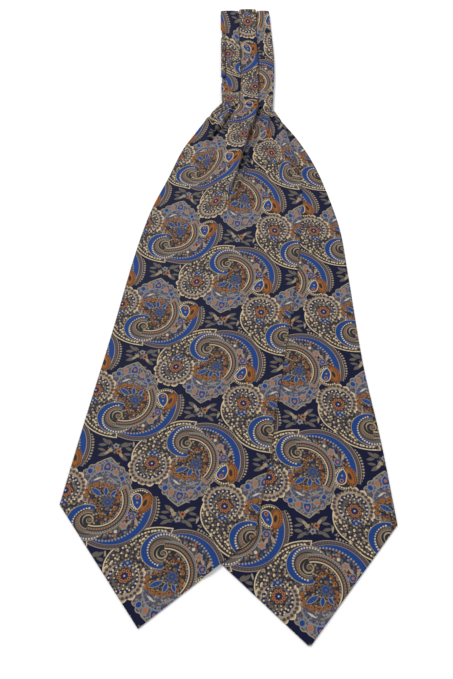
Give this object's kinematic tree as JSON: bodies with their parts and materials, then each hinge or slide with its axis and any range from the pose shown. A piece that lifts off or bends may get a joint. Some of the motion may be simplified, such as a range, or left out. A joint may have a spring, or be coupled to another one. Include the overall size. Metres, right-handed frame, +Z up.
{
  "type": "silk cravat",
  "caption": "Silk cravat folded at its pleated neckband and laid flat, two wide pointed blades fanned out, one lying on the other.",
  "frame": {"origin": "centre of the whole outline on the surface that the cravat lies on", "axes": "+Z up, out of the surface; +Y towards the fold of the neckband, -Y towards the points of the blades; +X to the right"},
  "size_m": [0.2338, 0.6204, 0.0071],
  "materials": {
    "silk_upper": "printed silk twill, soft low sheen, navy ground",
    "silk_under": "printed silk twill, soft low sheen, navy ground",
    "silk_band": "printed silk twill, soft low sheen, navy ground, pleated"
  },
  "bodies": {
    "root": {"blade_upper": "silk_upper", "blade_under": "silk_under", "band_pleat_left": "silk_band", "band_pleat_middle": "silk_band", "band_pleat_right": "silk_band", "band_tuck": "silk_band", "band_under": "silk_band"}
  },
  "joints": []
}
